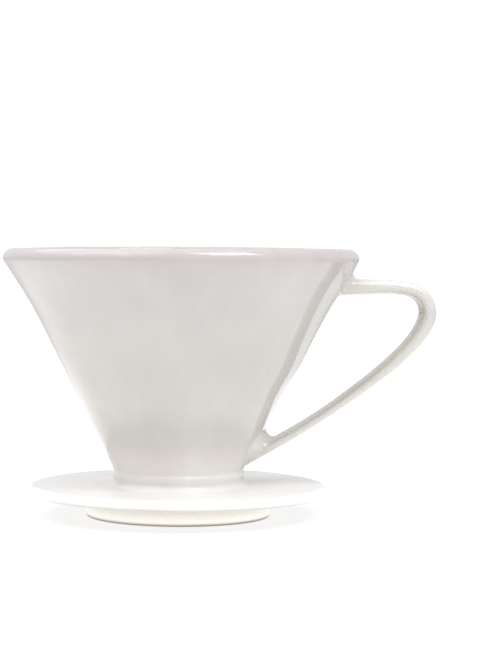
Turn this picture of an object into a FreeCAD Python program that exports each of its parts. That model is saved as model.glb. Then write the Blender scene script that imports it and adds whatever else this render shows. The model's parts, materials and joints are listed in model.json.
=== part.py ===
import FreeCAD, Part
import math
import os

# Ceramic pour over dripper: a 60 degree filter cone with a strap handle, standing on a
# round saucer with an unglazed foot ring. Millimetres, +Z up. The origin is the centre of
# the foot ring's resting face, and the handle points along +X.

# Bowl
RIM_RADIUS = 58.0
HEIGHT = 88.0
# radii of the lip below its widest level, from there up to its crest, and inside the crest
LIP_UNDER_RADIUS = 1.8
LIP_OVER_RADIUS = 3.05
LIP_INNER_RADIUS = 1.4
LIP_OUTER_ANGLE = 32.0
FILTER_HALF_ANGLE = 30.0
OUTLET_RADIUS = 10.0
OUTLET_EDGE = 1.0
STRAIGHT_TOP_RADIUS, STRAIGHT_TOP_HEIGHT = 39.1, 50.9
FLARE_RADIUS, FLARE_HEIGHT = 48.4, 69.2

# Neck between bowl and saucer
NECK_RADIUS = 21.95
NECK_TOP = 16.4
NECK_CORE_RADIUS = 20.0
BEAD_RADIUS = 21.75
BEAD_HEIGHT = 14.1
GROOVE_RADIUS = 21.2
GROOVE_HEIGHT = 12.1
NECK_FILLET = 2.4
# middle of the hollow fillet, out from the groove and up from the saucer
NECK_FILLET_MIDDLE = (0.75, 0.55)

# Spigot of the bowl that passes through the saucer
SPIGOT_RADIUS = 14.5
SPIGOT_DROP = 2.0
DRIP_EDGE = 1.2

# Saucer and foot ring
SAUCER_RADIUS = 48.7
SAUCER_BOTTOM = 6.8
SAUCER_THICKNESS = 3.5
FOOT_OUTER_RADIUS = 30.0
FOOT_INNER_RADIUS = 25.5
FOOT_EDGE = 0.8
FOOT_GROOVE_WIDTH, FOOT_GROOVE_DEPTH = 0.8, 0.3

# Spiral ribs inside the bowl, which hold the paper filter off the wall
RIB_COUNT = 12
RIB_RADIUS = 1.4
RIB_SUNK = 0.3
LONG_RIB_LOW, SHORT_RIB_LOW, RIB_HIGH = 13.2, 42.2, 78.2
RIB_TWIST_PER_MM = 1.05
RIB_POINTS = 7

# Strap handle, with the share of each corner radius in the thickness
STRAP_WIDTH = 15.0
STRAP_EDGE_SHARE = 0.44
# centre line of the strap in the XZ plane, from inside the wall at the top round the
# outer bend and down to the neck
STRAP_LINE = [
    (49.0, 75.1),
    (62.0, 75.3),
    (72.2, 75.1),
    (78.6, 72.9),
    (81.2, 67.6),
    (79.5, 61.7),
    (73.4, 54.0),
    (59.6, 42.3),
    (42.6, 30.5),
    (26.4, 21.1),
    (14.8, 14.6),
]
# thickness of the strap at shares of the length of its centre line
STRAP_THICKNESS = [
    (0.0, 5.6),
    (0.19, 4.6),
    (0.30, 5.2),
    (0.42, 4.5),
    (0.56, 3.8),
    (0.72, 3.2),
    (1.0, 3.2),
]
STRAP_STATIONS = 24
LUTING_RADIUS = 2.2
ROOT_TOLERANCE = 0.002

SAUCER_TOP = SAUCER_BOTTOM + SAUCER_THICKNESS
AXIS = FreeCAD.Vector(0, 0, 1)
ORIGIN = FreeCAD.Vector(0, 0, 0)


def point(radius, height):
    return FreeCAD.Vector(radius, 0, height)


def line(start, end):
    return Part.LineSegment(start, end).toShape()


def arc(start, middle, end):
    return Part.Arc(start, middle, end).toShape()


def on_circle(centre, radius, degrees):
    angle = math.radians(degrees)
    return centre + FreeCAD.Vector(radius * math.cos(angle), 0, radius * math.sin(angle))


def revolve(edges):
    face = Part.Face(Part.Wire(edges))
    solid = face.revolve(ORIGIN, AXIS, 360)
    return Part.Solid(solid.Shells[0])


def on_lip_under(degrees):
    centre = point(RIM_RADIUS - LIP_UNDER_RADIUS, HEIGHT - LIP_OVER_RADIUS)
    return on_circle(centre, LIP_UNDER_RADIUS, degrees)


def on_lip_over(degrees):
    centre = point(RIM_RADIUS - LIP_OVER_RADIUS, HEIGHT - LIP_OVER_RADIUS)
    return on_circle(centre, LIP_OVER_RADIUS, degrees)


def on_lip_inner(degrees):
    centre = point(RIM_RADIUS - LIP_OVER_RADIUS, HEIGHT - LIP_INNER_RADIUS)
    return on_circle(centre, LIP_INNER_RADIUS, degrees)


def lip_start():
    return on_lip_under(-LIP_OUTER_ANGLE)


def filter_edge():
    """Where the lip runs into the inner cone that the paper filter lies against."""
    return on_lip_inner(180 - FILTER_HALF_ANGLE)


def inner_radius(height):
    edge = filter_edge()
    return edge.x - (edge.z - height) * math.tan(math.radians(FILTER_HALF_ANGLE))


def wall_edges(low_end):
    """Outside of the bowl from its low end to the lip: a straight cone, then a flare."""
    straight_top = point(STRAIGHT_TOP_RADIUS, STRAIGHT_TOP_HEIGHT)
    lean = math.radians(LIP_OUTER_ANGLE)
    flare = Part.BSplineCurve()
    flare.interpolate(
        Points=[straight_top, point(FLARE_RADIUS, FLARE_HEIGHT), lip_start()],
        InitialTangent=straight_top - low_end,
        FinalTangent=FreeCAD.Vector(math.sin(lean), 0, math.cos(lean)),
    )
    return [line(low_end, straight_top), flare.toShape()]


def lip_edges():
    return [
        arc(lip_start(), on_lip_under(-LIP_OUTER_ANGLE / 2), on_lip_under(0)),
        arc(on_lip_over(0), on_lip_over(45), on_lip_over(90)),
        arc(on_lip_inner(90), on_lip_inner(120), filter_edge()),
    ]


def bowl_shell():
    """The plain bowl: wall, lip, neck core and the spigot with its outlet."""
    neck = point(NECK_RADIUS, NECK_TOP)
    wall_top = filter_edge()
    slope = math.tan(math.radians(FILTER_HALF_ANGLE))
    outlet_top = wall_top.z - (wall_top.x - OUTLET_RADIUS) / slope
    spigot_end = SAUCER_BOTTOM - SPIGOT_DROP
    bend_low = point(OUTLET_RADIUS, outlet_top - OUTLET_EDGE)
    bend_high = point(OUTLET_RADIUS + OUTLET_EDGE * slope, outlet_top + OUTLET_EDGE)
    bend_middle = point(OUTLET_RADIUS + OUTLET_EDGE * slope / 4, outlet_top)
    tip_middle = (OUTLET_RADIUS + SPIGOT_RADIUS) / 2
    edges = [
        *wall_edges(neck),
        *lip_edges(),
        line(wall_top, bend_high),
        arc(bend_high, bend_middle, bend_low),
        line(bend_low, point(OUTLET_RADIUS, spigot_end + DRIP_EDGE)),
        arc(
            point(OUTLET_RADIUS, spigot_end + DRIP_EDGE),
            point(tip_middle, spigot_end),
            point(SPIGOT_RADIUS, spigot_end + DRIP_EDGE),
        ),
        line(point(SPIGOT_RADIUS, spigot_end + DRIP_EDGE), point(SPIGOT_RADIUS, SAUCER_TOP)),
        line(point(SPIGOT_RADIUS, SAUCER_TOP), point(NECK_CORE_RADIUS, SAUCER_TOP)),
        line(point(NECK_CORE_RADIUS, SAUCER_TOP), point(NECK_CORE_RADIUS, NECK_TOP)),
        line(point(NECK_CORE_RADIUS, NECK_TOP), neck),
    ]
    return revolve(edges)


def bowl_envelope():
    """Everything inside the bowl's outer surface, with its straight cone carried on down
    to the saucer. It trims what is luted on to the bowl."""
    slope = (STRAIGHT_TOP_RADIUS - NECK_RADIUS) / (STRAIGHT_TOP_HEIGHT - NECK_TOP)
    low_end = point(NECK_RADIUS - slope * (NECK_TOP - SAUCER_TOP), SAUCER_TOP)
    top = lip_start()
    edges = [
        *wall_edges(low_end),
        line(top, point(0, top.z)),
        line(point(0, top.z), point(0, SAUCER_TOP)),
        line(point(0, SAUCER_TOP), low_end),
    ]
    return revolve(edges)


def rib(low, turn):
    """One spiral rib: a round bar from its low end to the top, its centre line just inside
    the wall."""
    lean = math.radians(FILTER_HALF_ANGLE)
    points = []
    for i in range(RIB_POINTS):
        height = low + (RIB_HIGH - low) * i / (RIB_POINTS - 1)
        radius = inner_radius(height) + RIB_SUNK * math.cos(lean)
        level = height - RIB_SUNK * math.sin(lean)
        angle = math.radians(turn + RIB_TWIST_PER_MM * (height - LONG_RIB_LOW))
        points.append(FreeCAD.Vector(radius * math.cos(angle), radius * math.sin(angle), level))
    curve = Part.BSplineCurve()
    curve.interpolate(Points=points)
    path = curve.toShape()
    start = curve.value(curve.FirstParameter)
    direction = curve.tangent(curve.FirstParameter)[0]
    section = Part.Wire(Part.makeCircle(RIB_RADIUS, start, direction))
    return Part.Wire(path).makePipeShell([section], True, False)


def ribs():
    bars = []
    step = 360 / RIB_COUNT
    for i in range(RIB_COUNT):
        bars.append(rib(LONG_RIB_LOW, i * step))
        bars.append(rib(SHORT_RIB_LOW, (i + 0.5) * step))
    return bars


def cone():
    return bowl_shell().fuse(ribs()).Solids[0]


def neck_luting_ring():
    """Bead of slip round the neck, with a small groove above its fillet to the saucer."""
    fillet_start = point(GROOVE_RADIUS + NECK_FILLET, SAUCER_TOP)
    out, up = NECK_FILLET_MIDDLE
    fillet_middle = point(GROOVE_RADIUS + out, SAUCER_TOP + up)
    groove = point(GROOVE_RADIUS, GROOVE_HEIGHT)
    edges = [
        line(point(NECK_CORE_RADIUS, SAUCER_TOP), fillet_start),
        arc(fillet_start, fillet_middle, groove),
        arc(groove, point(BEAD_RADIUS, BEAD_HEIGHT), point(NECK_RADIUS, NECK_TOP)),
        line(point(NECK_RADIUS, NECK_TOP), point(NECK_CORE_RADIUS, NECK_TOP)),
        line(point(NECK_CORE_RADIUS, NECK_TOP), point(NECK_CORE_RADIUS, SAUCER_TOP)),
    ]
    return revolve(edges)


def saucer():
    """Flat round flange with a fully rounded edge and a socket for the spigot. A fine
    groove underneath parts the face that rests on a cup's rim from the foot ring's seat."""
    edge_radius = SAUCER_THICKNESS / 2
    straight = SAUCER_RADIUS - edge_radius
    groove_outer = point(FOOT_OUTER_RADIUS + FOOT_GROOVE_WIDTH, SAUCER_BOTTOM)
    groove_top = point(
        FOOT_OUTER_RADIUS + FOOT_GROOVE_WIDTH / 2,
        SAUCER_BOTTOM + FOOT_GROOVE_DEPTH,
    )
    groove_inner = point(FOOT_OUTER_RADIUS, SAUCER_BOTTOM)
    edges = [
        line(point(SPIGOT_RADIUS, SAUCER_TOP), point(straight, SAUCER_TOP)),
        arc(
            point(straight, SAUCER_TOP),
            point(SAUCER_RADIUS, SAUCER_TOP - edge_radius),
            point(straight, SAUCER_BOTTOM),
        ),
        line(point(straight, SAUCER_BOTTOM), groove_outer),
        arc(groove_outer, groove_top, groove_inner),
        line(groove_inner, point(SPIGOT_RADIUS, SAUCER_BOTTOM)),
        line(point(SPIGOT_RADIUS, SAUCER_BOTTOM), point(SPIGOT_RADIUS, SAUCER_TOP)),
    ]
    return revolve(edges)


def foot_ring():
    """Unglazed ring that the dripper stands on, with both lower edges eased."""
    outer_centre = point(FOOT_OUTER_RADIUS - FOOT_EDGE, FOOT_EDGE)
    inner_centre = point(FOOT_INNER_RADIUS + FOOT_EDGE, FOOT_EDGE)
    edges = [
        line(point(FOOT_INNER_RADIUS, SAUCER_BOTTOM), point(FOOT_OUTER_RADIUS, SAUCER_BOTTOM)),
        line(point(FOOT_OUTER_RADIUS, SAUCER_BOTTOM), point(FOOT_OUTER_RADIUS, FOOT_EDGE)),
        arc(
            point(FOOT_OUTER_RADIUS, FOOT_EDGE),
            on_circle(outer_centre, FOOT_EDGE, -45),
            point(FOOT_OUTER_RADIUS - FOOT_EDGE, 0),
        ),
        line(point(FOOT_OUTER_RADIUS - FOOT_EDGE, 0), point(FOOT_INNER_RADIUS + FOOT_EDGE, 0)),
        arc(
            point(FOOT_INNER_RADIUS + FOOT_EDGE, 0),
            on_circle(inner_centre, FOOT_EDGE, -135),
            point(FOOT_INNER_RADIUS, FOOT_EDGE),
        ),
        line(point(FOOT_INNER_RADIUS, FOOT_EDGE), point(FOOT_INNER_RADIUS, SAUCER_BOTTOM)),
    ]
    return revolve(edges)


def strap_section(centre, tangent, thickness):
    """Rounded strip across the strap, in the plane square to its centre line."""
    side = FreeCAD.Vector(0, 1, 0)
    up = side.cross(tangent)
    up.normalize()
    corner = thickness * STRAP_EDGE_SHARE
    half_width = STRAP_WIDTH / 2
    half = thickness / 2

    def at(across, through):
        return centre + side * across + up * through

    diagonal = corner * math.sqrt(0.5)
    edges = []
    for sign_a, sign_b, upright in [(1, 1, True), (-1, 1, False), (-1, -1, True), (1, -1, False)]:
        middle = at(
            sign_a * (half_width - corner + diagonal),
            sign_b * (half - corner + diagonal),
        )
        on_side = at(sign_a * half_width, sign_b * (half - corner))
        on_face = at(sign_a * (half_width - corner), sign_b * half)
        if upright:
            edges.append(arc(on_side, middle, on_face))
            edges.append(line(on_face, at(-sign_a * (half_width - corner), sign_b * half)))
        else:
            edges.append(arc(on_face, middle, on_side))
            edges.append(line(on_side, at(sign_a * half_width, -sign_b * (half - corner))))
    return Part.Wire(edges)


def strap_thickness(share):
    """Thickness at a share of the centre line, eased from one stated value to the next."""
    for (start, before), (end, after) in zip(STRAP_THICKNESS, STRAP_THICKNESS[1:]):
        if share <= end:
            along = (share - start) / (end - start)
            ease = along * along * (3 - 2 * along)
            return before + (after - before) * ease
    return STRAP_THICKNESS[-1][1]


def strap():
    """The whole strap, with both ends still running on inside the bowl."""
    curve = Part.BSplineCurve()
    curve.interpolate(Points=[point(x, z) for x, z in STRAP_LINE])
    length = curve.length()
    sections = []
    for i in range(STRAP_STATIONS):
        share = i / (STRAP_STATIONS - 1)
        at = curve.parameterAtDistance(share * length, curve.FirstParameter)
        tangent = curve.tangent(at)[0]
        sections.append(strap_section(curve.value(at), tangent, strap_thickness(share)))
    return Part.makeLoft(sections, True, False)


def handle():
    return strap().cut([bowl_envelope(), neck_luting_ring()]).Solids[0]


def lies_on(edge, shell):
    """Whether three points along an edge all lie on a shell."""
    for share in (0.2, 0.5, 0.8):
        span = edge.LastParameter - edge.FirstParameter
        spot = Part.Vertex(edge.valueAt(edge.FirstParameter + share * span))
        if spot.distToShape(shell)[0] > ROOT_TOLERANCE:
            return False
    return True


def handle_luting(lowest, highest):
    """The slip fillet round the strap where it meets the bowl between two heights."""
    envelope = bowl_envelope()
    bar = strap()
    joined = envelope.fuse(bar).Solids[0]
    root = []
    for edge in joined.Edges:
        height = edge.CenterOfMass.z
        if lowest < height < highest and lies_on(edge, envelope.Shells[0]) and lies_on(edge, bar.Shells[0]):
            root.append(edge)
    filleted = joined.makeFillet(LUTING_RADIUS, root)
    below = Part.makeCylinder(RIM_RADIUS, NECK_TOP)
    return filleted.cut([joined, below]).Solids[0]


def handle_upper_luting():
    return handle_luting(STRAIGHT_TOP_HEIGHT, HEIGHT)


def handle_lower_luting():
    return handle_luting(SAUCER_TOP, STRAIGHT_TOP_HEIGHT)


def export(name, shape):
    shape.exportStep("parts/" + name + ".step")
    print(name, shape.ShapeType, len(shape.Solids), shape.isValid(), round(shape.Volume, 1))


os.makedirs("parts", exist_ok=True)
export("cone", cone())
export("handle", handle())
export("handle_upper_luting", handle_upper_luting())
export("handle_lower_luting", handle_lower_luting())
export("neck_luting_ring", neck_luting_ring())
export("saucer", saucer())
export("foot_ring", foot_ring())
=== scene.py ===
import json
import math

import bpy
import numpy as np
from mathutils import Matrix, Vector


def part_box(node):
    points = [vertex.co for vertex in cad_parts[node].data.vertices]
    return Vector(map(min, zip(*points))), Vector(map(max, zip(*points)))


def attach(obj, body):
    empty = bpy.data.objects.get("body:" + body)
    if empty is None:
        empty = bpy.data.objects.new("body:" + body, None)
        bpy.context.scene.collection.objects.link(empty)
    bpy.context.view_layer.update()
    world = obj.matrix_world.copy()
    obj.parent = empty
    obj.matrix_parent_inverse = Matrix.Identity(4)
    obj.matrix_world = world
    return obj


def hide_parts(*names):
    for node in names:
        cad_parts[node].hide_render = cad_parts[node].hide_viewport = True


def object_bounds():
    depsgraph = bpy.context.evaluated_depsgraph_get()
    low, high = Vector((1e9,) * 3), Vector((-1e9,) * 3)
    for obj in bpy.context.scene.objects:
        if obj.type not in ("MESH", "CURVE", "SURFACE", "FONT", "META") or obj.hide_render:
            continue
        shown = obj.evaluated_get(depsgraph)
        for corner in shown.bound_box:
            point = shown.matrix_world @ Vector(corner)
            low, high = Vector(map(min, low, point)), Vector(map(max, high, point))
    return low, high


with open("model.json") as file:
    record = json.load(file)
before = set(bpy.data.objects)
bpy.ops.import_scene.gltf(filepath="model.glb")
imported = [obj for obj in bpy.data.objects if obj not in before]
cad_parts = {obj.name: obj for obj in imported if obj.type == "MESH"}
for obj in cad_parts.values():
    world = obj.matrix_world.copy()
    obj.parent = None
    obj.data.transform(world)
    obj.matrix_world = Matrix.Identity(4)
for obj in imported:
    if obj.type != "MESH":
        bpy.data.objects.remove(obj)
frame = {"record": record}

# The dripper's shapes are worked out in millimetres in the CAD frame (+Z up, handle along +X)
# and turned into metres when a mesh is made. The studio and the camera are in metres.
MM = 0.001
SHARP_ANGLE = math.radians(35)
cad_low, cad_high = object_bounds()


def node_range(node):
    """Lowest and highest corner of a CAD node, in millimetres."""
    low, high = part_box(node)
    return np.array(low) / MM, np.array(high) / MM


def mount_radius(name):
    """Radius of one of the part's mounts, in millimetres."""
    for mount in frame["record"]["mounts"]:
        if mount["name"] == name:
            return mount["dims"]["r_mm"]
    raise ValueError(name)


HEIGHT = cad_high.z / MM
RIM_RADIUS = cad_high.y / MM
OUTLET_RADIUS = mount_radius("outlet")
FOOT_RADIUS = mount_radius("foot_locator")
SPIGOT_END = node_range("cone")[0][2]
NECK_TOP = node_range("neck_luting_ring")[1][2]
SAUCER_RADIUS = node_range("saucer")[1][1]
SAUCER_BOTTOM = node_range("saucer")[0][2]
SAUCER_TOP = node_range("saucer")[1][2]
STRAP_WIDTH = 2 * node_range("handle")[1][1]

# Bowl
LIP_UNDER_RADIUS, LIP_OVER_RADIUS, LIP_INNER_RADIUS = 1.8, 3.05, 1.4
LIP_OUTER_ANGLE = 32.0
FILTER_HALF_ANGLE = 30.0
NECK_RADIUS = 21.95
STRAIGHT_TOP_RADIUS, STRAIGHT_TOP_HEIGHT = 39.1, 50.9
FLARE_RADIUS, FLARE_HEIGHT = 48.4, 69.2
SPIGOT_RADIUS = 14.5
NECK_CORE_RADIUS = 20.0
DRIP_EDGE = 1.2
OUTLET_EDGE = 1.0
FOOT_INNER_RADIUS = 25.5
FOOT_EDGE = 0.8
BOWL_ROWS, WALL_ROWS, NECK_ROWS = 66, 74, 56
TURNED_COLUMNS, SAUCER_COLUMNS = 360, 400

# Neck bead, its groove and the hollow fillet down to the saucer
NECK_FILLET_WIDTH, NECK_FILLET_HEIGHT = 2.6, 1.3
NECK_FILLET_CORNER = 0.25
GROOVE_RADIUS = 21.4
BEAD_RADIUS = 21.68
# how far outside the neck's core its skin begins to follow the clay's departures, and does fully
NECK_SKIN = (0.5, 1.2)

# Ribs: every second one starts higher up. They twist by degrees for each millimetre of height.
RIB_COUNT = 24
RIB_HEIGHT = 1.1
RIB_HALF_WIDTH = 2.0
RIB_TWIST_PER_MM = 1.05
RIB_LOW, SHORT_RIB_LOW, RIB_HIGH = 13.2, 42.2, 78.2
RIB_FADE = 4.0
RIB_FULLNESS = 0.85
# the grid's columns for each rib, the share of them that lies on it, and the widest that half a
# rib may get as a share of the angle from rib to rib
COLUMNS_PER_RIB = 20
RIB_COLUMNS_SHARE = 0.6
HALF_RIB_LIMIT = 0.4

# How the fired clay departs from a perfect turned shape, and the heights at which each departure
# comes in
HANDLE_SIDE_BULGE = 1.25
BULGE_HALF_ANGLE = 55.0
BULGE_LOW, BULGE_FULL, BULGE_HIGH = 38.0, 50.0, 78.0
BULGE_LOSS_AT_LIP = 0.75
RIM_LEAN = 0.3
LEAN_LOW = 60.0
RIM_DIP = 0.5
RIM_DROP = 0.45
SAG_LOW = 50.0
# slow waves: their depth on the body and on the strap, how many are added up, how slow they are
# in millimetres to the radian, and how softly their sum is limited
UNDULATION = 0.10
STRAP_UNDULATION = 0.015
WAVE_COUNT = 10
WAVE_SLOWNESS = 9.0
WAVE_SOFTNESS = 4.0
# the saucer's waves are slower still, taken at one level, come in outside the foot, and draw its
# edge in by a share of their depth
SAUCER_WAVE_PACE, SAUCER_WAVE_LEVEL, SAUCER_WAVE_FADE = 0.8, 40, 8
SAUCER_SHRINK = 0.6

# Strap: its centre line as (x, z) from the upper root to the lower one, then its thickness
# against the share of its length
STRAP_SQUARENESS = 3.2
STRAP_LINE = [
    (49.0, 75.1),
    (62.0, 75.3),
    (72.2, 75.1),
    (78.6, 72.9),
    (81.2, 67.6),
    (79.5, 61.7),
    (73.4, 54.0),
    (59.6, 42.3),
    (42.6, 30.5),
    (26.4, 21.1),
    (14.8, 14.6),
]
STRAP_THICKNESS = [
    (0.0, 5.6),
    (0.19, 4.6),
    (0.30, 5.2),
    (0.42, 4.5),
    (0.56, 3.8),
    (0.72, 3.2),
    (1.0, 3.2),
]
STRAP_COLUMNS = 96
STRAP_ROWS = 200
SPLINE_STEPS = 3000
# share of the strap, from each end, over which its rows turn to meet the bowl
ROOT_SHARE = 0.2
# shares of the centre line's length that lie outside the bowl, to search for the roots from
UPPER_OUTSIDE, LOWER_OUTSIDE = 0.25, 0.7
ROOT_HALVINGS = 40

# Slip fillets at the strap's roots: radii above and below the strap, what share of them is lost
# at its edges, their longest reach along a surface, how far they run on past it, and how far
# they stand off the strap and the bowl. The bowl is taken before its rim's sag, so the upper
# fillet's edge runs a little under it.
UPPER_FILLET_RADII = (2.0, 2.4)
LOWER_FILLET_RADII = (3.4, 2.6)
UPPER_FILLET_TAPER, LOWER_FILLET_TAPER = 0.15, 0.2
REACH_LIMIT = 14.0
EXTENSION = 0.5
LAYER = 0.012
FILLET_ROWS = 18
# the step that gives the strap's direction at its root, and the least cosine allowed between
# that direction and the way off the seam
SHORT_STEP = 0.2
LEAST_COSINE = 0.4

# Glaze colour against height as a share of the whole, with painted light and shade laid into one
# glaze:
# grey under the saucer as painted shade, white on its top as painted light, lighter at the neck and
# low bowl as painted light from the saucer, darker up the bowl as painted shade, darkest on the lip's
# top as painted shade
GLAZE_AND_PAINTED_LIGHT_BY_HEIGHT = [
    (0.00, (0.48, 0.465, 0.44)),
    (0.082, (0.48, 0.465, 0.44)),
    (0.095, (0.92, 0.905, 0.895)),
    (0.118, (0.92, 0.905, 0.895)),
    (0.14, (0.84, 0.815, 0.79)),
    (0.17, (0.82, 0.795, 0.765)),
    (0.20, (0.77, 0.745, 0.71)),
    (0.24, (0.68, 0.655, 0.625)),
    (0.28, (0.59, 0.567, 0.54)),
    (0.34, (0.555, 0.535, 0.51)),
    (0.42, (0.575, 0.555, 0.53)),
    (0.55, (0.55, 0.533, 0.507)),
    (0.90, (0.58, 0.555, 0.54)),
    (0.97, (0.57, 0.535, 0.53)),
    (1.00, (0.44, 0.41, 0.405)),
]
# The strap's glaze over the same heights, lighter than the bowl's painted shade, and the tone of the
# strap's painted shade: fully on the face towards the bowl, by a share on the outer face, and not
# near the roots. Faces are told by their place through the strap, from -0.5 towards the bowl to 0.5
# away from it.
STRAP_GLAZE = [(0.0, (0.68, 0.66, 0.64)), (1.0, (0.66, 0.64, 0.615))]
STRAP_SHADE_TONE = (0.48, 0.455, 0.40)
SHADE_FROM, SHADE_TO = (0.06, 0.3), (0.6, 0.95)
INNER_FACE, OUTER_FACE = (0.08, -0.46), (0.36, 0.5)
OUTER_SHADE_SHARE = 0.5

# Glaze surface. Patterns are a noise's scale, detail and roughness, and bumps a strength and a
# depth in metres.
CLOUDS = (32.0, 2.0)
RUNS = (160.0, 6.0, 0.65)
RUN_STRETCH = (1.0, 1.0, 0.12)
RUN_SHARE = 0.35
CLOUD_TINTS = [(0.36, (0.91, 0.905, 0.90)), (0.64, (1.0, 1.0, 1.0))]
SPECK_SCALE = 58.0
SPECK_TONE = (0.38, 0.33, 0.27)
SPECK_EDGE = [(0.012, (1, 1, 1)), (0.024, (0, 0, 0))]
RIPPLES = (130.0, 1.0)
RIPPLE_BUMP = (0.12, 0.0002)
GLAZE_ROUGHNESS = (0.06, 0.13)
GLAZE_IOR = 1.52

# Bare bisque of the foot: its grain, then painted shade under the saucer and a painted contact shadow
# at the table, with the heights in metres between which each fades
GRAIN = (1500.0, 4.0)
GRAIN_BUMP = (0.3, 0.0001)
GRAIN_TINTS = [(0.35, (0.97, 0.94, 0.88)), (0.65, (1.0, 0.985, 0.94))]
SAUCER_SHADE_TONE, SAUCER_SHADE_HEIGHTS = (0.58, 0.54, 0.46), (0.002, 0.0065)
CONTACT_SHADOW_TONE, CONTACT_SHADOW_HEIGHTS = (0.22, 0.19, 0.15), (0.0003, 0.0011)
BISQUE_ROUGHNESS, BISQUE_SPECULAR = 0.75, 0.3

# Studio: the room's light as the dripper sees it, in front and behind, and as the camera does
WORLD_FRONT, WORLD_BACK = 0.53, 0.77
WORLD_SEEN = 1.1
# how far a direction leans to the front or back, at most 1, where each level is reached
WORLD_TURN = 0.8
FLOOR_HALF = 15.0
FLOOR_TONE = 0.25
FLOOR_ROUGHNESS = 0.9
# the floor's glow near and far, as the camera sees it and as it lights the dripper
SEEN_GLOW = (0.76, 1.1)
CAST_GLOW = (1.25, 0.34)
GLOW_DISTANCES = (0.12, 0.35)
# how far in under the foot the glow reaches, in millimetres
FOOT_SHADE_WIDTH = 4
# name, place, aim, size and power
SOFT_LIGHTS = [
    ("left_softbox", (-0.60, -0.36, 1.04), (0, 0, 0.05), (1.0, 0.9), 5.2),
    ("right_softbox", (0.43, -0.49, 1.04), (0, 0, 0.05), (0.62, 0.66), 9.4),
    ("top_softbox", (-0.35, 0.3, 1.2), (0, 0, 0.05), (1.6, 1.6), 8.0),
]

# Camera
CAMERA_DISTANCE = 0.702
CAMERA_RISE = 0.0045
CAMERA_AIM_X = 0.01975
CAMERA_AIM_Z = 0.0617
CAMERA_ROLL = math.radians(0.48)
CAMERA_LENS = 117.98


def camera():
    data = bpy.data.cameras.new("camera")
    data.lens = CAMERA_LENS
    data.clip_start = 0.05
    data.clip_end = 50.0
    cam = bpy.data.objects.new("camera", data)
    bpy.context.scene.collection.objects.link(cam)
    eye = Vector((0.0, -CAMERA_DISTANCE, cad_high.z + CAMERA_RISE))
    aim = Vector((CAMERA_AIM_X, 0.0, CAMERA_AIM_Z))
    turn = (aim - eye).to_track_quat("-Z", "Y")
    roll = Matrix.Rotation(CAMERA_ROLL, 4, "Z").to_quaternion()
    cam.rotation_mode = "QUATERNION"
    cam.location = eye
    cam.rotation_quaternion = turn @ roll
    bpy.context.scene.camera = cam


# ---------------------------------------------------------------- curves and numbers

def smooth(low, high, value):
    """0 below low, 1 above high, and an S curve between."""
    share = np.clip((value - low) / (high - low), 0.0, 1.0)
    return share * share * (3 - 2 * share)


def bend(start, corner, end, count):
    """Points of a round corner: tangent to start-corner at one end and corner-end at the other."""
    share = np.linspace(0.0, 1.0, count)[:, None]
    start, corner, end = (np.array(p, float) for p in (start, corner, end))
    return (1 - share) ** 2 * start + 2 * share * (1 - share) * corner + share**2 * end


def arc(centre, radius, first, last, count):
    angle = np.radians(np.linspace(first, last, count))
    return np.stack([centre[0] + radius * np.cos(angle), centre[1] + radius * np.sin(angle)], 1)


def straight(start, end, count):
    return np.linspace(start, end, count)


def chain(*runs):
    """One outline from several runs, without the doubled points where they meet."""
    points = [runs[0][0]]
    for run in runs:
        for point in run:
            if np.linalg.norm(point - points[-1]) > 1e-6:
                points.append(point)
    if np.linalg.norm(points[0] - points[-1]) < 1e-6:
        points.pop()
    return np.array(points)


def hermite(knots, slopes, at):
    """Smooth curve through (position, value) knots with the given slopes, at some positions."""
    knots = np.array(knots, float)
    slopes = np.array(slopes, float)
    place = np.clip(np.searchsorted(knots[:, 0], at) - 1, 0, len(knots) - 2)
    step = knots[place + 1, 0] - knots[place, 0]
    u = (at - knots[place, 0]) / step
    before, after = knots[place, 1], knots[place + 1, 1]
    return (
        (2 * u**3 - 3 * u**2 + 1) * before
        + (u**3 - 2 * u**2 + u) * step * slopes[place]
        + (3 * u**2 - 2 * u**3) * after
        + (u**3 - u**2) * step * slopes[place + 1]
    )


rng = np.random.default_rng(11)
WAVES = [
    (rng.normal(size=3) / WAVE_SLOWNESS, rng.uniform(0, 2 * math.pi))
    for _ in range(WAVE_COUNT)
]


def undulation(x, y, z):
    """Slow waves of the glazed surface, from 0 to 1."""
    total = np.zeros_like(x)
    for vector, phase in WAVES:
        total += np.sin(vector[0] * x + vector[1] * y + vector[2] * z + phase)
    return 0.5 + 0.5 * np.tanh(total / WAVE_SOFTNESS)


# ---------------------------------------------------------------- the bowl's surfaces

LIP_WIDEST = HEIGHT - LIP_OVER_RADIUS
LIP_CREST = RIM_RADIUS - LIP_OVER_RADIUS
LIP = chain(
    arc((RIM_RADIUS - LIP_UNDER_RADIUS, LIP_WIDEST), LIP_UNDER_RADIUS, -LIP_OUTER_ANGLE, 0, 8),
    arc((LIP_CREST, LIP_WIDEST), LIP_OVER_RADIUS, 0, 90, 16),
    arc((LIP_CREST, HEIGHT - LIP_INNER_RADIUS), LIP_INNER_RADIUS, 90, 180 - FILTER_HALF_ANGLE, 8),
)
LIP_START, FILTER_EDGE = LIP[0], LIP[-1]
FILTER_SLOPE = math.tan(math.radians(FILTER_HALF_ANGLE))
OUTLET_TOP = FILTER_EDGE[1] - (FILTER_EDGE[0] - OUTLET_RADIUS) / FILTER_SLOPE
STRAIGHT_SLOPE = (STRAIGHT_TOP_RADIUS - NECK_RADIUS) / (STRAIGHT_TOP_HEIGHT - NECK_TOP)

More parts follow.
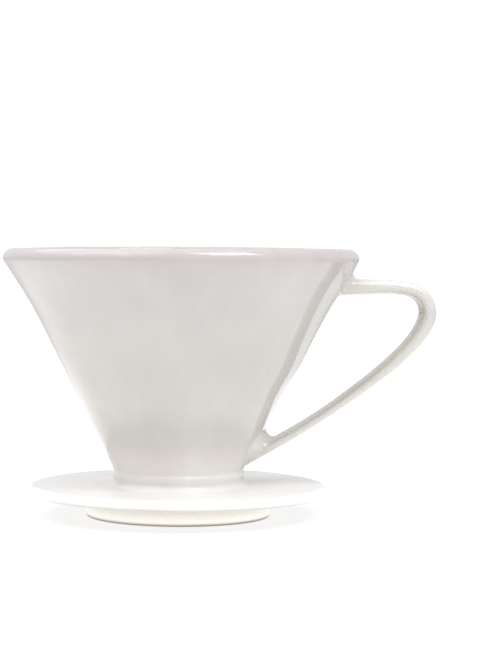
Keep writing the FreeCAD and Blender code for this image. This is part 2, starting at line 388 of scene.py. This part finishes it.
# height, radius and slope of the outside from the saucer's top to the lip
OUTSIDE = [
    (SAUCER_TOP + NECK_FILLET_HEIGHT, GROOVE_RADIUS + 0.05, -0.25),
    (12.1, GROOVE_RADIUS, 0.05),
    (13.2, BEAD_RADIUS - 0.06, 0.2),
    (14.1, BEAD_RADIUS, -0.1),
    (14.6, BEAD_RADIUS - 0.18, -0.8),
    (15.0, BEAD_RADIUS - 0.32, -0.1),
    (15.6, BEAD_RADIUS - 0.2, 0.4),
    (NECK_TOP + 0.6, NECK_RADIUS + 0.27, 0.46),
    (NECK_TOP + 2.6, NECK_RADIUS + 2.6 * STRAIGHT_SLOPE, STRAIGHT_SLOPE),
    (STRAIGHT_TOP_HEIGHT, STRAIGHT_TOP_RADIUS, STRAIGHT_SLOPE),
    (FLARE_HEIGHT, FLARE_RADIUS, 0.56),
    (LIP_START[1], LIP_START[0], math.tan(math.radians(LIP_OUTER_ANGLE))),
]


def turned_radius(height):
    """Outside radius of the bowl and its neck before the clay's own departures."""
    knots = [(z, r) for z, r, _ in OUTSIDE]
    slopes = [slope for _, _, slope in OUTSIDE]
    return hermite(knots, slopes, np.clip(height, OUTSIDE[0][0], OUTSIDE[-1][0]))


def lean(height):
    """How far the bowl is pulled towards the handle."""
    return RIM_LEAN * smooth(LEAN_LOW, HEIGHT, height)


def departure(x, y, z):
    """How far the outside stands off its turned radius: out beside the handle, in elsewhere."""
    angle = np.degrees(np.arctan2(y, x))
    side = np.cos(np.clip(angle / BULGE_HALF_ANGLE, -1, 1) * math.pi / 2) ** 2
    rise = smooth(BULGE_LOW, BULGE_FULL, z)
    rise = rise * (1 - BULGE_LOSS_AT_LIP * smooth(BULGE_HIGH, LIP_WIDEST, z))
    rise = rise * (1 - smooth(LIP_WIDEST, HEIGHT, z))
    return HANDLE_SIDE_BULGE * side * rise - UNDULATION * undulation(x, y, z)


def inner_radius(height):
    """Radius of the filter cone between its ribs."""
    return FILTER_EDGE[0] - (FILTER_EDGE[1] - height) * FILTER_SLOPE


def clearance(points):
    """Signed distance, along the radius, of points from the outside of the bowl before the rim's
    sag."""
    x = points[..., 0] - lean(points[..., 2])
    y, z = points[..., 1], points[..., 2]
    return np.hypot(x, y) - turned_radius(z) - departure(x, y, z)


def outside_normal(points):
    """Outward normal of the bowl's outside at points on it."""
    step = 0.02
    slope = []
    for axis in range(3):
        shift = np.zeros(3)
        shift[axis] = step
        slope.append(clearance(points + shift) - clearance(points - shift))
    normal = np.stack(slope, -1)
    return normal / np.linalg.norm(normal, axis=-1, keepdims=True)


# ---------------------------------------------------------------- meshes

def make_piece(name, points, faces, nodes, thin=None):
    mesh = bpy.data.meshes.new(name)
    mesh.from_pydata((np.asarray(points) * MM).tolist(), [], faces)
    mesh.validate()
    mesh.shade_smooth()
    mesh.set_sharp_from_angle(angle=SHARP_ANGLE)
    # a share of painted shade for each point, which only the strap carries
    if thin is not None:
        values = np.asarray(thin, np.float32).ravel()
        mesh.attributes.new("thin", "FLOAT", "POINT").data.foreach_set("value", values)
    piece = bpy.data.objects.new(name, mesh)
    bpy.context.scene.collection.objects.link(piece)
    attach(piece, "root")
    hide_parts(*nodes)
    return piece


def ring_faces(rows, columns, close_rows):
    """Quads of a grid whose columns run round and whose rows may close on themselves."""
    faces = []
    last = rows if close_rows else rows - 1
    for i in range(last):
        for j in range(columns):
            a = i * columns + j
            b = i * columns + (j + 1) % columns
            c = (i + 1) % rows * columns + (j + 1) % columns
            d = (i + 1) % rows * columns + j
            faces.append((a, b, c, d))
    return faces


def turned_piece(name, outline, columns, node, shape=None):
    """A closed (radius, height) outline turned round the axis, with an optional change to
    its points."""
    angle = np.linspace(0, 2 * math.pi, columns, endpoint=False)[None, :]
    radius, height = outline[:, 0:1], outline[:, 1:2]
    points = np.stack(
        [radius * np.cos(angle), radius * np.sin(angle), height + 0 * angle], -1
    )
    if shape:
        points = shape(points)
    faces = ring_faces(len(outline), columns, True)
    return make_piece(name, points.reshape(-1, 3), faces, [node])


def bowl_outline():
    """The bowl's closed outline, how many of its points come before the filter wall, and how
    many come before the wall's end."""
    heights = np.linspace(NECK_TOP, LIP_START[1], BOWL_ROWS)
    outside = np.stack([turned_radius(heights), heights], 1)
    filter_end = (OUTLET_RADIUS + OUTLET_EDGE * FILTER_SLOPE, OUTLET_TOP + OUTLET_EDGE)
    wall = straight(FILTER_EDGE, filter_end, WALL_ROWS)
    outlet_end = (OUTLET_RADIUS, OUTLET_TOP - OUTLET_EDGE)
    outlet = bend(filter_end, (OUTLET_RADIUS, OUTLET_TOP), outlet_end, 6)
    tip_start = (OUTLET_RADIUS, SPIGOT_END + DRIP_EDGE)
    tip_end = (SPIGOT_RADIUS, SPIGOT_END + DRIP_EDGE)
    tip_middle = ((OUTLET_RADIUS + SPIGOT_RADIUS) / 2, SPIGOT_END - DRIP_EDGE)
    outline = chain(
        outside,
        LIP,
        wall,
        outlet,
        straight(outlet_end, tip_start, 3),
        bend(tip_start, tip_middle, tip_end, 8),
        straight(tip_end, (SPIGOT_RADIUS, SAUCER_TOP), 3),
        straight((SPIGOT_RADIUS, SAUCER_TOP), (NECK_CORE_RADIUS, SAUCER_TOP), 3),
        straight((NECK_CORE_RADIUS, SAUCER_TOP), (NECK_CORE_RADIUS, NECK_TOP), 3),
    )
    return outline, len(outside) + len(LIP) - 1, len(outside) + len(LIP) + len(wall) - 2


def rib_columns(height):
    """Angles of the grid's columns at some heights, close together across each rib, and each
    column's distance from its rib's middle, square to the rib."""
    sector = 2 * math.pi / RIB_COUNT
    filter_cosine = math.cos(math.radians(FILTER_HALF_ANGLE))
    level = np.clip(height, RIB_LOW, HEIGHT)
    radius = inner_radius(level)
    skew = np.hypot(1.0, radius * math.radians(RIB_TWIST_PER_MM) * filter_cosine)
    half = np.minimum(RIB_HALF_WIDTH * skew / radius, HALF_RIB_LIMIT * sector)[:, None]
    share = np.arange(COLUMNS_PER_RIB)[None, :] / COLUMNS_PER_RIB - 0.5
    edge = RIB_COLUMNS_SHARE / 2
    outer = half + (np.abs(share) - edge) / (0.5 - edge) * (sector / 2 - half)
    local = np.where(np.abs(share) <= edge, share / edge * half, np.sign(share) * outer)
    local = np.tile(local, (1, RIB_COUNT))
    twist = np.radians(RIB_TWIST_PER_MM) * (level - RIB_LOW)[:, None]
    middle = np.repeat(np.arange(RIB_COUNT) * sector, COLUMNS_PER_RIB)[None, :]
    return middle + local + twist, local * radius[:, None] / skew[:, None]


def rib_relief(height, across):
    """Height of the ribs over the filter cone."""
    bar = 0.5 + 0.5 * np.cos(np.pi * np.clip(across / RIB_HALF_WIDTH, -1, 1))
    number = np.repeat(np.arange(RIB_COUNT), COLUMNS_PER_RIB)[None, :]
    low = np.where(number % 2 == 0, RIB_LOW, SHORT_RIB_LOW)
    level = height[:, None]
    run = smooth(low, low + RIB_FADE, level) * (1 - smooth(RIB_HIGH - RIB_FADE / 2, RIB_HIGH, level))
    return RIB_HEIGHT * bar**RIB_FULLNESS * run


def cone():
    """The bowl with its lip, ribs, outlet and spigot."""
    outline, outside_count, wall_end = bowl_outline()
    radius, height = outline[:, 0], outline[:, 1]
    angle, across = rib_columns(height)
    x, y = radius[:, None] * np.cos(angle), radius[:, None] * np.sin(angle)
    z = np.repeat(height[:, None], angle.shape[1], 1)
    row = np.arange(len(outline))[:, None]
    is_outside = row < outside_count
    is_wall = (row >= outside_count) & (row < wall_end)
    offset = np.where(is_outside, departure(x, y, z), 0.0)
    relief = np.where(is_wall, rib_relief(height, across), 0.0)
    filter_angle = math.radians(FILTER_HALF_ANGLE)
    grown = radius[:, None] + offset - relief * math.cos(filter_angle)
    sideways = grown * np.cos(angle) / RIM_RADIUS
    sag = RIM_DIP * sideways**2 + RIM_DROP * (0.5 - 0.5 * sideways)
    points = np.stack(
        [
            grown * np.cos(angle) + lean(z),
            grown * np.sin(angle),
            z + relief * math.sin(filter_angle) - sag * smooth(SAG_LOW, HEIGHT, z),
        ],
        -1,
    )
    faces = ring_faces(*points.shape[:2], True)
    return make_piece("cone_glazed", points.reshape(-1, 3), faces, ["cone"])


def neck_luting_ring():
    """The neck's skin: the hollow fillet on the saucer, the groove and the bead."""
    heights = np.linspace(SAUCER_TOP + NECK_FILLET_HEIGHT, NECK_TOP, NECK_ROWS)
    side = np.stack([turned_radius(heights), heights], 1)
    fillet_start = (side[0, 0] + NECK_FILLET_WIDTH, SAUCER_TOP)
    fillet_corner = (side[0, 0] + NECK_FILLET_CORNER, SAUCER_TOP)
    outline = chain(
        bend(fillet_start, fillet_corner, side[0], 12),
        side,
        straight(side[-1], (NECK_CORE_RADIUS, NECK_TOP), 3),
        straight((NECK_CORE_RADIUS, NECK_TOP), (NECK_CORE_RADIUS, SAUCER_TOP), 3),
        straight((NECK_CORE_RADIUS, SAUCER_TOP), fillet_start, 3),
    )

    def shape(points):
        x, y, z = points[..., 0], points[..., 1], points[..., 2]
        radius = np.hypot(x, y)
        outer = smooth(*NECK_SKIN, radius - NECK_CORE_RADIUS)
        rise = smooth(SAUCER_TOP, SAUCER_TOP + NECK_FILLET_HEIGHT, z)
        grow = 1 + departure(x, y, z) * outer * rise / radius
        return np.stack([x * grow, y * grow, z], -1)

    return turned_piece("neck_bead", outline, TURNED_COLUMNS, "neck_luting_ring", shape)


def saucer():
    """The flat flange with its round edge and the socket for the cone's spigot."""
    edge = (SAUCER_TOP - SAUCER_BOTTOM) / 2
    rim = SAUCER_RADIUS - edge
    middle = (SAUCER_TOP + SAUCER_BOTTOM) / 2
    outline = chain(
        straight((SPIGOT_RADIUS, SAUCER_TOP), (rim, SAUCER_TOP), 40),
        arc((rim, middle), edge, 90, -90, 25),
        straight((rim, SAUCER_BOTTOM), (SPIGOT_RADIUS, SAUCER_BOTTOM), 30),
        straight((SPIGOT_RADIUS, SAUCER_BOTTOM), (SPIGOT_RADIUS, SAUCER_TOP), 3),
    )

    def shape(points):
        x, y, z = points[..., 0], points[..., 1], points[..., 2]
        radius = np.hypot(x, y)
        outer = smooth(FOOT_RADIUS, FOOT_RADIUS + SAUCER_WAVE_FADE, radius)
        pace, level = SAUCER_WAVE_PACE, SAUCER_WAVE_LEVEL
        sink = UNDULATION * undulation(x * pace, y * pace, level + 0 * z) * outer
        top = smooth(SAUCER_BOTTOM, SAUCER_TOP, z)
        shrink = 1 - SAUCER_SHRINK * sink / radius
        return np.stack([x * shrink, y * shrink, z - sink * top], -1)

    return turned_piece("saucer_glazed", outline, SAUCER_COLUMNS, "saucer", shape)


def foot_ring():
    """The unglazed ring that the dripper stands on."""
    low, high = node_range("foot_ring")
    outer, top = high[1], high[2]
    inner, edge = FOOT_INNER_RADIUS, FOOT_EDGE
    outline = chain(
        straight((inner, top), (outer, top), 6),
        straight((outer, top), (outer, edge), 10),
        bend((outer, edge), (outer, low[2]), (outer - edge, low[2]), 8),
        straight((outer - edge, low[2]), (inner + edge, low[2]), 6),
        bend((inner + edge, low[2]), (inner, low[2]), (inner, edge), 8),
        straight((inner, edge), (inner, top), 8),
    )
    return turned_piece("foot_ring_bisque", outline, TURNED_COLUMNS, "foot_ring")


# ---------------------------------------------------------------- the handle

def strap_spline():
    """The strap's centre line as a dense table: length so far, place and direction."""
    knots = np.array(STRAP_LINE)
    span = np.concatenate([[0], np.cumsum(np.linalg.norm(np.diff(knots, axis=0), axis=1))])
    count = len(knots)
    system = np.zeros((count, count))
    right = np.zeros((count, 2))
    system[0, 0] = system[-1, -1] = 1
    right[0] = (knots[1] - knots[0]) / (span[1] - span[0])
    right[-1] = (knots[-1] - knots[-2]) / (span[-1] - span[-2])
    for i in range(1, count - 1):
        before, after = span[i] - span[i - 1], span[i + 1] - span[i]
        system[i, i - 1 : i + 2] = after, 2 * (before + after), before
        rise = after / before * (knots[i] - knots[i - 1]) + before / after * (knots[i + 1] - knots[i])
        right[i] = 3 * rise
    slopes = np.linalg.solve(system, right)
    at = np.linspace(0, span[-1], SPLINE_STEPS)
    line = np.stack(
        [hermite(np.stack([span, knots[:, k]], 1), slopes[:, k], at) for k in (0, 1)], 1
    )
    step = np.gradient(line, axis=0)
    step /= np.linalg.norm(step, axis=1, keepdims=True)
    length = np.concatenate([[0], np.cumsum(np.linalg.norm(np.diff(line, axis=0), axis=1))])
    return length, line, step


STRAP_LENGTHS, STRAP_PLACES, STRAP_STEPS = strap_spline()


def squared(value):
    """Turns the sine or cosine of a round section into that of a squarer one."""
    return np.sign(value) * np.abs(value) ** (2 / STRAP_SQUARENESS)


STRAP_TURNS = np.linspace(0, 2 * math.pi, STRAP_COLUMNS, endpoint=False)
STRAP_ACROSS = STRAP_WIDTH / 2 * squared(np.cos(STRAP_TURNS))
STRAP_THROUGH = squared(np.sin(STRAP_TURNS)) / 2


def strap_points(length):
    """Points on the strap for lengths along it given per column (last axis)."""
    share = length / STRAP_LENGTHS[-1]
    thickness = np.zeros_like(share)
    for (start, before), (end, after) in zip(STRAP_THICKNESS, STRAP_THICKNESS[1:]):
        ease = smooth(start, end, share)
        inside = (share >= start) & (share <= end)
        thickness = np.where(inside, before + (after - before) * ease, thickness)
    across = STRAP_ACROSS
    through = thickness * STRAP_THROUGH
    x = np.interp(length, STRAP_LENGTHS, STRAP_PLACES[:, 0])
    z = np.interp(length, STRAP_LENGTHS, STRAP_PLACES[:, 1])
    step_x = np.interp(length, STRAP_LENGTHS, STRAP_STEPS[:, 0])
    step_z = np.interp(length, STRAP_LENGTHS, STRAP_STEPS[:, 1])
    points = np.stack([x - step_z * through, across, z + step_x * through], -1)
    points[..., 0:3:2] += STRAP_UNDULATION * (undulation(x, across, z) - 0.5)[..., None]
    return points


def strap_painted_shade(shares):
    """How much painted shade the strap gets, for rows at some shares of the strap: most on the face
    towards the bowl, less on the outer face, and not at the roots."""
    along = smooth(*SHADE_FROM, shares) * (1 - smooth(*SHADE_TO, shares))
    inner = smooth(*INNER_FACE, STRAP_THROUGH)
    outer = OUTER_SHADE_SHARE * smooth(*OUTER_FACE, STRAP_THROUGH)
    return along[:, None] * (inner + outer)[None, :]


def strap_root(inside, outside):
    """Length along the strap at which each column meets the bowl, between a place inside the
    bowl and one outside."""
    low = np.full(STRAP_COLUMNS, float(inside))
    high = np.full(STRAP_COLUMNS, float(outside))
    for _ in range(ROOT_HALVINGS):
        middle = (low + high) / 2
        within = clearance(strap_points(middle)) < 0
        low = np.where(within, middle, low)
        high = np.where(within, high, middle)
    return (low + high) / 2


def settle(points, lift=0.0):
    """Moves points along the radius on to the bowl's outside, or a little off it."""
    gap = clearance(points) - lift
    x = points[..., 0] - lean(points[..., 2])
    radius = np.hypot(x, points[..., 1])
    moved = points.copy()
    moved[..., 0] -= gap * x / radius
    moved[..., 1] -= gap * points[..., 1] / radius
    return moved


def column_normals(points, away):
    """Outward normals of the strap at one loop of points, square to the way along it."""
    round_step = np.roll(points, -1, 0) - np.roll(points, 1, 0)
    normal = np.cross(round_step, away)
    normal /= np.linalg.norm(normal, axis=1, keepdims=True)
    centre = points.mean(0)
    if np.sum(normal * (points - centre)) < 0:
        normal = -normal
    return normal


def ways_off_seam(strap_normal, bowl_normal):
    """Directions away from the seam of strap and bowl, one along each surface."""
    seam = np.cross(bowl_normal, strap_normal)
    seam /= np.linalg.norm(seam, axis=1, keepdims=True)
    out_strap = np.cross(seam, strap_normal)
    out_strap *= np.sign(np.sum(out_strap * bowl_normal, 1, keepdims=True))
    out_bowl = np.cross(seam, bowl_normal)
    out_bowl *= np.sign(np.sum(out_bowl * strap_normal, 1, keepdims=True))
    return out_strap, out_bowl


def luting(name, node, root, way, radii):
    """The slip fillet round one end of the strap: a skirt that leaves the strap and settles on
    the bowl, tangent to the strap and to the bowl before its rim's sag. way is +1 where lengths
    grow away from the bowl, else -1."""
    apex = strap_points(root)
    away = strap_points(root + way * SHORT_STEP) - apex
    away /= np.linalg.norm(away, axis=1, keepdims=True)
    strap_normal = column_normals(apex, away)
    bowl_normal = outside_normal(apex)
    out_strap, out_bowl = ways_off_seam(strap_normal, bowl_normal)
    half_angle = np.arccos(np.clip(np.sum(out_strap * out_bowl, 1), -1, 1)) / 2
    reach = REACH_LIMIT * np.tanh(radii / np.tan(half_angle) / REACH_LIMIT)
    oblique = np.clip(np.sum(away * out_strap, 1), LEAST_COSINE, 1.0)
    weight = np.sin(half_angle)[:, None]
    top_length = root + way * reach / oblique
    top = strap_points(top_length)
    foot = settle(apex + out_bowl * reach[:, None])
    rows = []
    for lift in (EXTENSION, EXTENSION / 2):
        rows.append(strap_points(top_length + way * lift) + strap_normal * LAYER)
    for u in np.linspace(0, 1, FILLET_ROWS):
        first, second, third = (1 - u) ** 2, 2 * u * (1 - u) * weight, u * u
        point = (first * top + second * apex + third * foot) / (first + second + third)
        rows.append(point + (strap_normal * (1 - u) + bowl_normal * u) * LAYER)
    for spread in (EXTENSION / 2, EXTENSION):
        rows.append(settle(foot + out_bowl * spread, LAYER))
    for share in (0.0, 0.5):
        rows.append(settle(foot + (apex - foot) * share + out_bowl * EXTENSION * (1 - share), -LAYER))
    for share in (0.0, 0.5, 1.0):
        length = root + (top_length + way * EXTENSION - root) * share
        rows.append(strap_points(length) - strap_normal * LAYER)
    points = np.array(rows)
    count, columns = points.shape[:2]
    faces = ring_faces(count, columns, True)
    if way < 0:
        faces = [face[::-1] for face in faces]
    return make_piece(name, points.reshape(-1, 3), faces, [node])


def fillet_radii(loop, above_below, taper):
    """Fillet radius at each point of a loop round the strap, a little less at its edges."""
    across = np.abs(loop[:, 1]) / (STRAP_WIDTH / 2)
    above = loop[:, 2] > loop[:, 2].mean()
    return np.where(above, *above_below) * (1 - taper * across)


def strap_rows(upper, lower, shares):
    """The strap's rows from root to root, turned near each end to meet the bowl."""
    rows = []
    for share in shares:
        length = upper.mean() + (lower.mean() - upper.mean()) * share
        near_upper = 1 - smooth(0.0, ROOT_SHARE, share)
        near_lower = smooth(1 - ROOT_SHARE, 1.0, share)
        shift = (upper - upper.mean()) * near_upper + (lower - lower.mean()) * near_lower
        rows.append(strap_points(length + shift))
    return np.array(rows)


def strap_piece(points, shares):
    """The strap's mesh, closed by a fan at each end."""
    rows, columns = points.shape[:2]
    faces = ring_faces(rows, columns, False)
    flat = points.reshape(-1, 3)
    caps = np.array([points[0].mean(0), points[-1].mean(0)])
    first, last = len(flat), len(flat) + 1
    end = (rows - 1) * columns
    for j in range(columns):
        k = (j + 1) % columns
        faces.append((first, k, j))
        faces.append((last, end + j, end + k))
    # the strap's painted shade, kept on the mesh for its material
    thin = np.concatenate([strap_painted_shade(shares).ravel(), np.zeros(len(caps))])
    flat = np.vstack([flat, caps])
    return make_piece("handle_strap", flat, faces, ["handle"], thin)


def handle():
    """The strap from root to root, and the luting at both ends."""
    total = STRAP_LENGTHS[-1]
    upper = strap_root(0.0, UPPER_OUTSIDE * total)
    lower = strap_root(total, LOWER_OUTSIDE * total)
    shares = np.linspace(0, 1, STRAP_ROWS)
    points = strap_rows(upper, lower, shares)
    upper_radii = fillet_radii(points[0], UPPER_FILLET_RADII, UPPER_FILLET_TAPER)
    lower_radii = fillet_radii(points[-1], LOWER_FILLET_RADII, LOWER_FILLET_TAPER)
    return [
        strap_piece(points, shares),
        luting("handle_upper_fillet", "handle_upper_luting", upper, 1, upper_radii),
        luting("handle_lower_fillet", "handle_lower_luting", lower, -1, lower_radii),
    ]


# ---------------------------------------------------------------- material nodes

def new_material(name):
    """A material, its node tree and its shader."""
    material = bpy.data.materials.new(name)
    material.use_nodes = True
    return material, material.node_tree, material.node_tree.nodes["Principled BSDF"]


def object_place(tree):
    """A point's place on the object, in metres."""
    return tree.nodes.new("ShaderNodeTexCoord").outputs["Object"]


def part_of(tree, vector, axis):
    """One axis of a vector."""
    axes = tree.nodes.new("ShaderNodeSeparateXYZ")
    tree.links.new(vector, axes.inputs["Vector"])
    return axes.outputs[axis]


def ramp(tree, value, stops):
    """A value turned into a colour by (position, colour) stops."""
    node = tree.nodes.new("ShaderNodeValToRGB")
    elements = node.color_ramp.elements
    while len(elements) < len(stops):
        elements.new(0.5)
    for element, (position, color) in zip(elements, stops):
        element.position = position
        element.color = (*color, 1)
    tree.links.new(value, node.inputs["Fac"])
    return node.outputs["Color"]


def ranged(tree, value, source, target=(0.0, 1.0)):
    """A value turned from one range into another, and held at its ends."""
    node = tree.nodes.new("ShaderNodeMapRange")
    node.inputs["From Min"].default_value, node.inputs["From Max"].default_value = source
    node.inputs["To Min"].default_value, node.inputs["To Max"].default_value = target
    tree.links.new(value, node.inputs["Value"])
    return node.outputs["Result"]


def noise(tree, vector, scale, detail, roughness=0.5):
    node = tree.nodes.new("ShaderNodeTexNoise")
    node.inputs["Scale"].default_value = scale
    node.inputs["Detail"].default_value = detail
    node.inputs["Roughness"].default_value = roughness
    tree.links.new(vector, node.inputs["Vector"])
    return node.outputs["Fac"]


def painted(tree, share, under, tone):
    """A tone laid over a colour by a share from 0 to 1."""
    node = tree.nodes.new("ShaderNodeMixRGB")
    node.inputs["Color2"].default_value = (*tone, 1)
    tree.links.new(share, node.inputs["Fac"])
    tree.links.new(under, node.inputs["Color1"])
    return node.outputs["Color"]


def bumped(tree, shader, height, strength, depth):
    """Fine relief in a shader's surface."""
    node = tree.nodes.new("ShaderNodeBump")
    node.inputs["Strength"].default_value = strength
    node.inputs["Distance"].default_value = depth
    tree.links.new(height, node.inputs["Height"])
    tree.links.new(node.outputs["Normal"], shader.inputs["Normal"])


# ---------------------------------------------------------------- glaze and bisque

def tone_and_painted_light_by_height(tree, place, stops):
    """The glaze's colour by height, with the painted light and shade that its stops carry."""
    height = ranged(tree, part_of(tree, place, "Z"), (0.0, cad_high.z))
    return ramp(tree, height, stops)


def faint_runs(tree, place):
    """Noise drawn out down the wall."""
    stretch = tree.nodes.new("ShaderNodeMapping")
    stretch.inputs["Scale"].default_value = RUN_STRETCH
    tree.links.new(place, stretch.inputs["Vector"])
    return noise(tree, stretch.outputs["Vector"], *RUNS)


def clouded(tree, place, runs, colour):
    """A colour with slow cloudy patches and faint runs."""
    patches = tree.nodes.new("ShaderNodeMixRGB")
    patches.inputs["Fac"].default_value = RUN_SHARE
    tree.links.new(noise(tree, place, *CLOUDS), patches.inputs["Color1"])
    tree.links.new(runs, patches.inputs["Color2"])
    product = tree.nodes.new("ShaderNodeMixRGB")
    product.blend_type = "MULTIPLY"
    product.inputs["Fac"].default_value = 1.0
    tree.links.new(colour, product.inputs["Color1"])
    tree.links.new(ramp(tree, patches.outputs["Color"], CLOUD_TINTS), product.inputs["Color2"])
    return product.outputs["Color"]


def with_strap_shade(tree, colour):
    """A colour with the strap's painted shade, which only the strap's mesh carries."""
    thin = tree.nodes.new("ShaderNodeAttribute")
    thin.attribute_name = "thin"
    return painted(tree, thin.outputs["Fac"], colour, STRAP_SHADE_TONE)


def specked(tree, place, colour):
    """A colour with the odd iron speck."""
    cells = tree.nodes.new("ShaderNodeTexVoronoi")
    cells.inputs["Scale"].default_value = SPECK_SCALE
    tree.links.new(place, cells.inputs["Vector"])
    return painted(tree, ramp(tree, cells.outputs["Distance"], SPECK_EDGE), colour, SPECK_TONE)


def glaze_material(name, stops, with_specks):
    """White gloss glaze, uneven as it flowed, with painted light and shade by height and the strap's
    painted shade.
    """
    material, tree, shader = new_material(name)
    place = object_place(tree)
    runs = faint_runs(tree, place)
    colour = with_strap_shade(tree, clouded(tree, place, runs, tone_and_painted_light_by_height(tree, place, stops)))
    if with_specks:
        colour = specked(tree, place, colour)
    tree.links.new(colour, shader.inputs["Base Color"])
    tree.links.new(ranged(tree, runs, (0.0, 1.0), GLAZE_ROUGHNESS), shader.inputs["Roughness"])
    shader.inputs["IOR"].default_value = GLAZE_IOR
    bumped(tree, shader, noise(tree, place, *RIPPLES), *RIPPLE_BUMP)
    return material


def bisque_material():
    """Bare clay with its grain, painted shade under the saucer, and a painted contact shadow where it
    stands on the table.
    """
    material, tree, shader = new_material("bare_bisque")
    place = object_place(tree)
    height = part_of(tree, place, "Z")
    grain = noise(tree, place, *GRAIN)
    colour = ramp(tree, grain, GRAIN_TINTS)
    # painted shade under the saucer's overhang, darkening the foot's top
    colour = painted(tree, ranged(tree, height, SAUCER_SHADE_HEIGHTS), colour, SAUCER_SHADE_TONE)
    # painted contact shadow along the foot's lower edge
    colour = painted(tree, ranged(tree, height, CONTACT_SHADOW_HEIGHTS, (1.0, 0.0)), colour, CONTACT_SHADOW_TONE)
    tree.links.new(colour, shader.inputs["Base Color"])
    shader.inputs["Roughness"].default_value = BISQUE_ROUGHNESS
    shader.inputs["Specular IOR Level"].default_value = BISQUE_SPECULAR
    bumped(tree, shader, grain, *GRAIN_BUMP)
    return material


# ---------------------------------------------------------------- studio

def split_by_viewer(tree, cast):
    """A mix that gives one value to the dripper, and its input B to the camera."""
    path = tree.nodes.new("ShaderNodeLightPath")
    mix = tree.nodes.new("ShaderNodeMix")
    tree.links.new(path.outputs["Is Camera Ray"], mix.inputs["Factor"])
    tree.links.new(cast, mix.inputs["A"])
    return mix


def studio_world():
    """White to the camera; to the dripper, a room that is dimmer in front than behind."""
    scene = bpy.context.scene
    scene.view_settings.view_transform = "Standard"
    world = bpy.data.worlds.new("studio")
    scene.world = world
    world.use_nodes = True
    tree = world.node_tree
    direction = tree.nodes.new("ShaderNodeTexCoord").outputs["Generated"]
    depth = part_of(tree, direction, "Y")
    room = ranged(tree, depth, (-WORLD_TURN, WORLD_TURN), (WORLD_FRONT, WORLD_BACK))
    level = split_by_viewer(tree, room)
    level.inputs["B"].default_value = WORLD_SEEN
    back = tree.nodes["Background"]
    back.inputs["Color"].default_value = (1, 1, 1, 1)
    tree.links.new(level.outputs["Result"], back.inputs["Strength"])


def floor_material():
    """A pale floor that glows for the camera, and for the dripper most of all close by, but not
    under the foot."""
    material, tree, shader = new_material("pale_floor")
    shader.inputs["Base Color"].default_value = (FLOOR_TONE, FLOOR_TONE, FLOOR_TONE, 1)
    shader.inputs["Roughness"].default_value = FLOOR_ROUGHNESS
    shader.inputs["Specular IOR Level"].default_value = 0.0
    shader.inputs["Emission Color"].default_value = (1, 1, 1, 1)
    length = tree.nodes.new("ShaderNodeVectorMath")
    length.operation = "LENGTH"
    tree.links.new(object_place(tree), length.inputs[0])
    reach = length.outputs["Value"]
    glow = split_by_viewer(tree, ranged(tree, reach, GLOW_DISTANCES, CAST_GLOW))
    tree.links.new(ranged(tree, reach, GLOW_DISTANCES, SEEN_GLOW), glow.inputs["B"])
    shade_edge = ((FOOT_RADIUS - FOOT_SHADE_WIDTH) * MM, FOOT_RADIUS * MM)
    shaded = ranged(tree, reach, shade_edge)
    tree.links.new(glow.outputs["Result"], shaded.node.inputs["To Max"])
    tree.links.new(shaded, shader.inputs["Emission Strength"])
    return material


def studio_floor():
    half = FLOOR_HALF
    corners = [(-half, -half, 0), (half, -half, 0), (half, half, 0), (-half, half, 0)]
    mesh = bpy.data.meshes.new("floor")
    mesh.from_pydata(corners, [], [(0, 1, 2, 3)])
    mesh.materials.append(floor_material())
    floor = bpy.data.objects.new("floor", mesh)
    bpy.context.scene.collection.objects.link(floor)


def soft_light(name, place, target, size, power):
    light = bpy.data.lights.new(name, "AREA")
    light.shape = "RECTANGLE"
    light.size, light.size_y = size
    light.energy = power
    lamp = bpy.data.objects.new(name, light)
    lamp.location = place
    aim = Vector(target) - Vector(place)
    lamp.rotation_mode = "QUATERNION"
    lamp.rotation_quaternion = aim.to_track_quat("-Z", "Y")
    bpy.context.scene.collection.objects.link(lamp)


camera()
studio_world()
studio_floor()
for light in SOFT_LIGHTS:
    soft_light(*light)
# the body's glaze carries painted light and shade by height
body_glaze = glaze_material("white_glaze", GLAZE_AND_PAINTED_LIGHT_BY_HEIGHT, True)
strap_glaze = glaze_material("strap_glaze", STRAP_GLAZE, False)
bisque = bisque_material()
for piece in (cone(), neck_luting_ring(), saucer()):
    piece.data.materials.append(body_glaze)
for piece in handle():
    piece.data.materials.append(strap_glaze)
foot = foot_ring()
foot.data.materials.append(bisque)
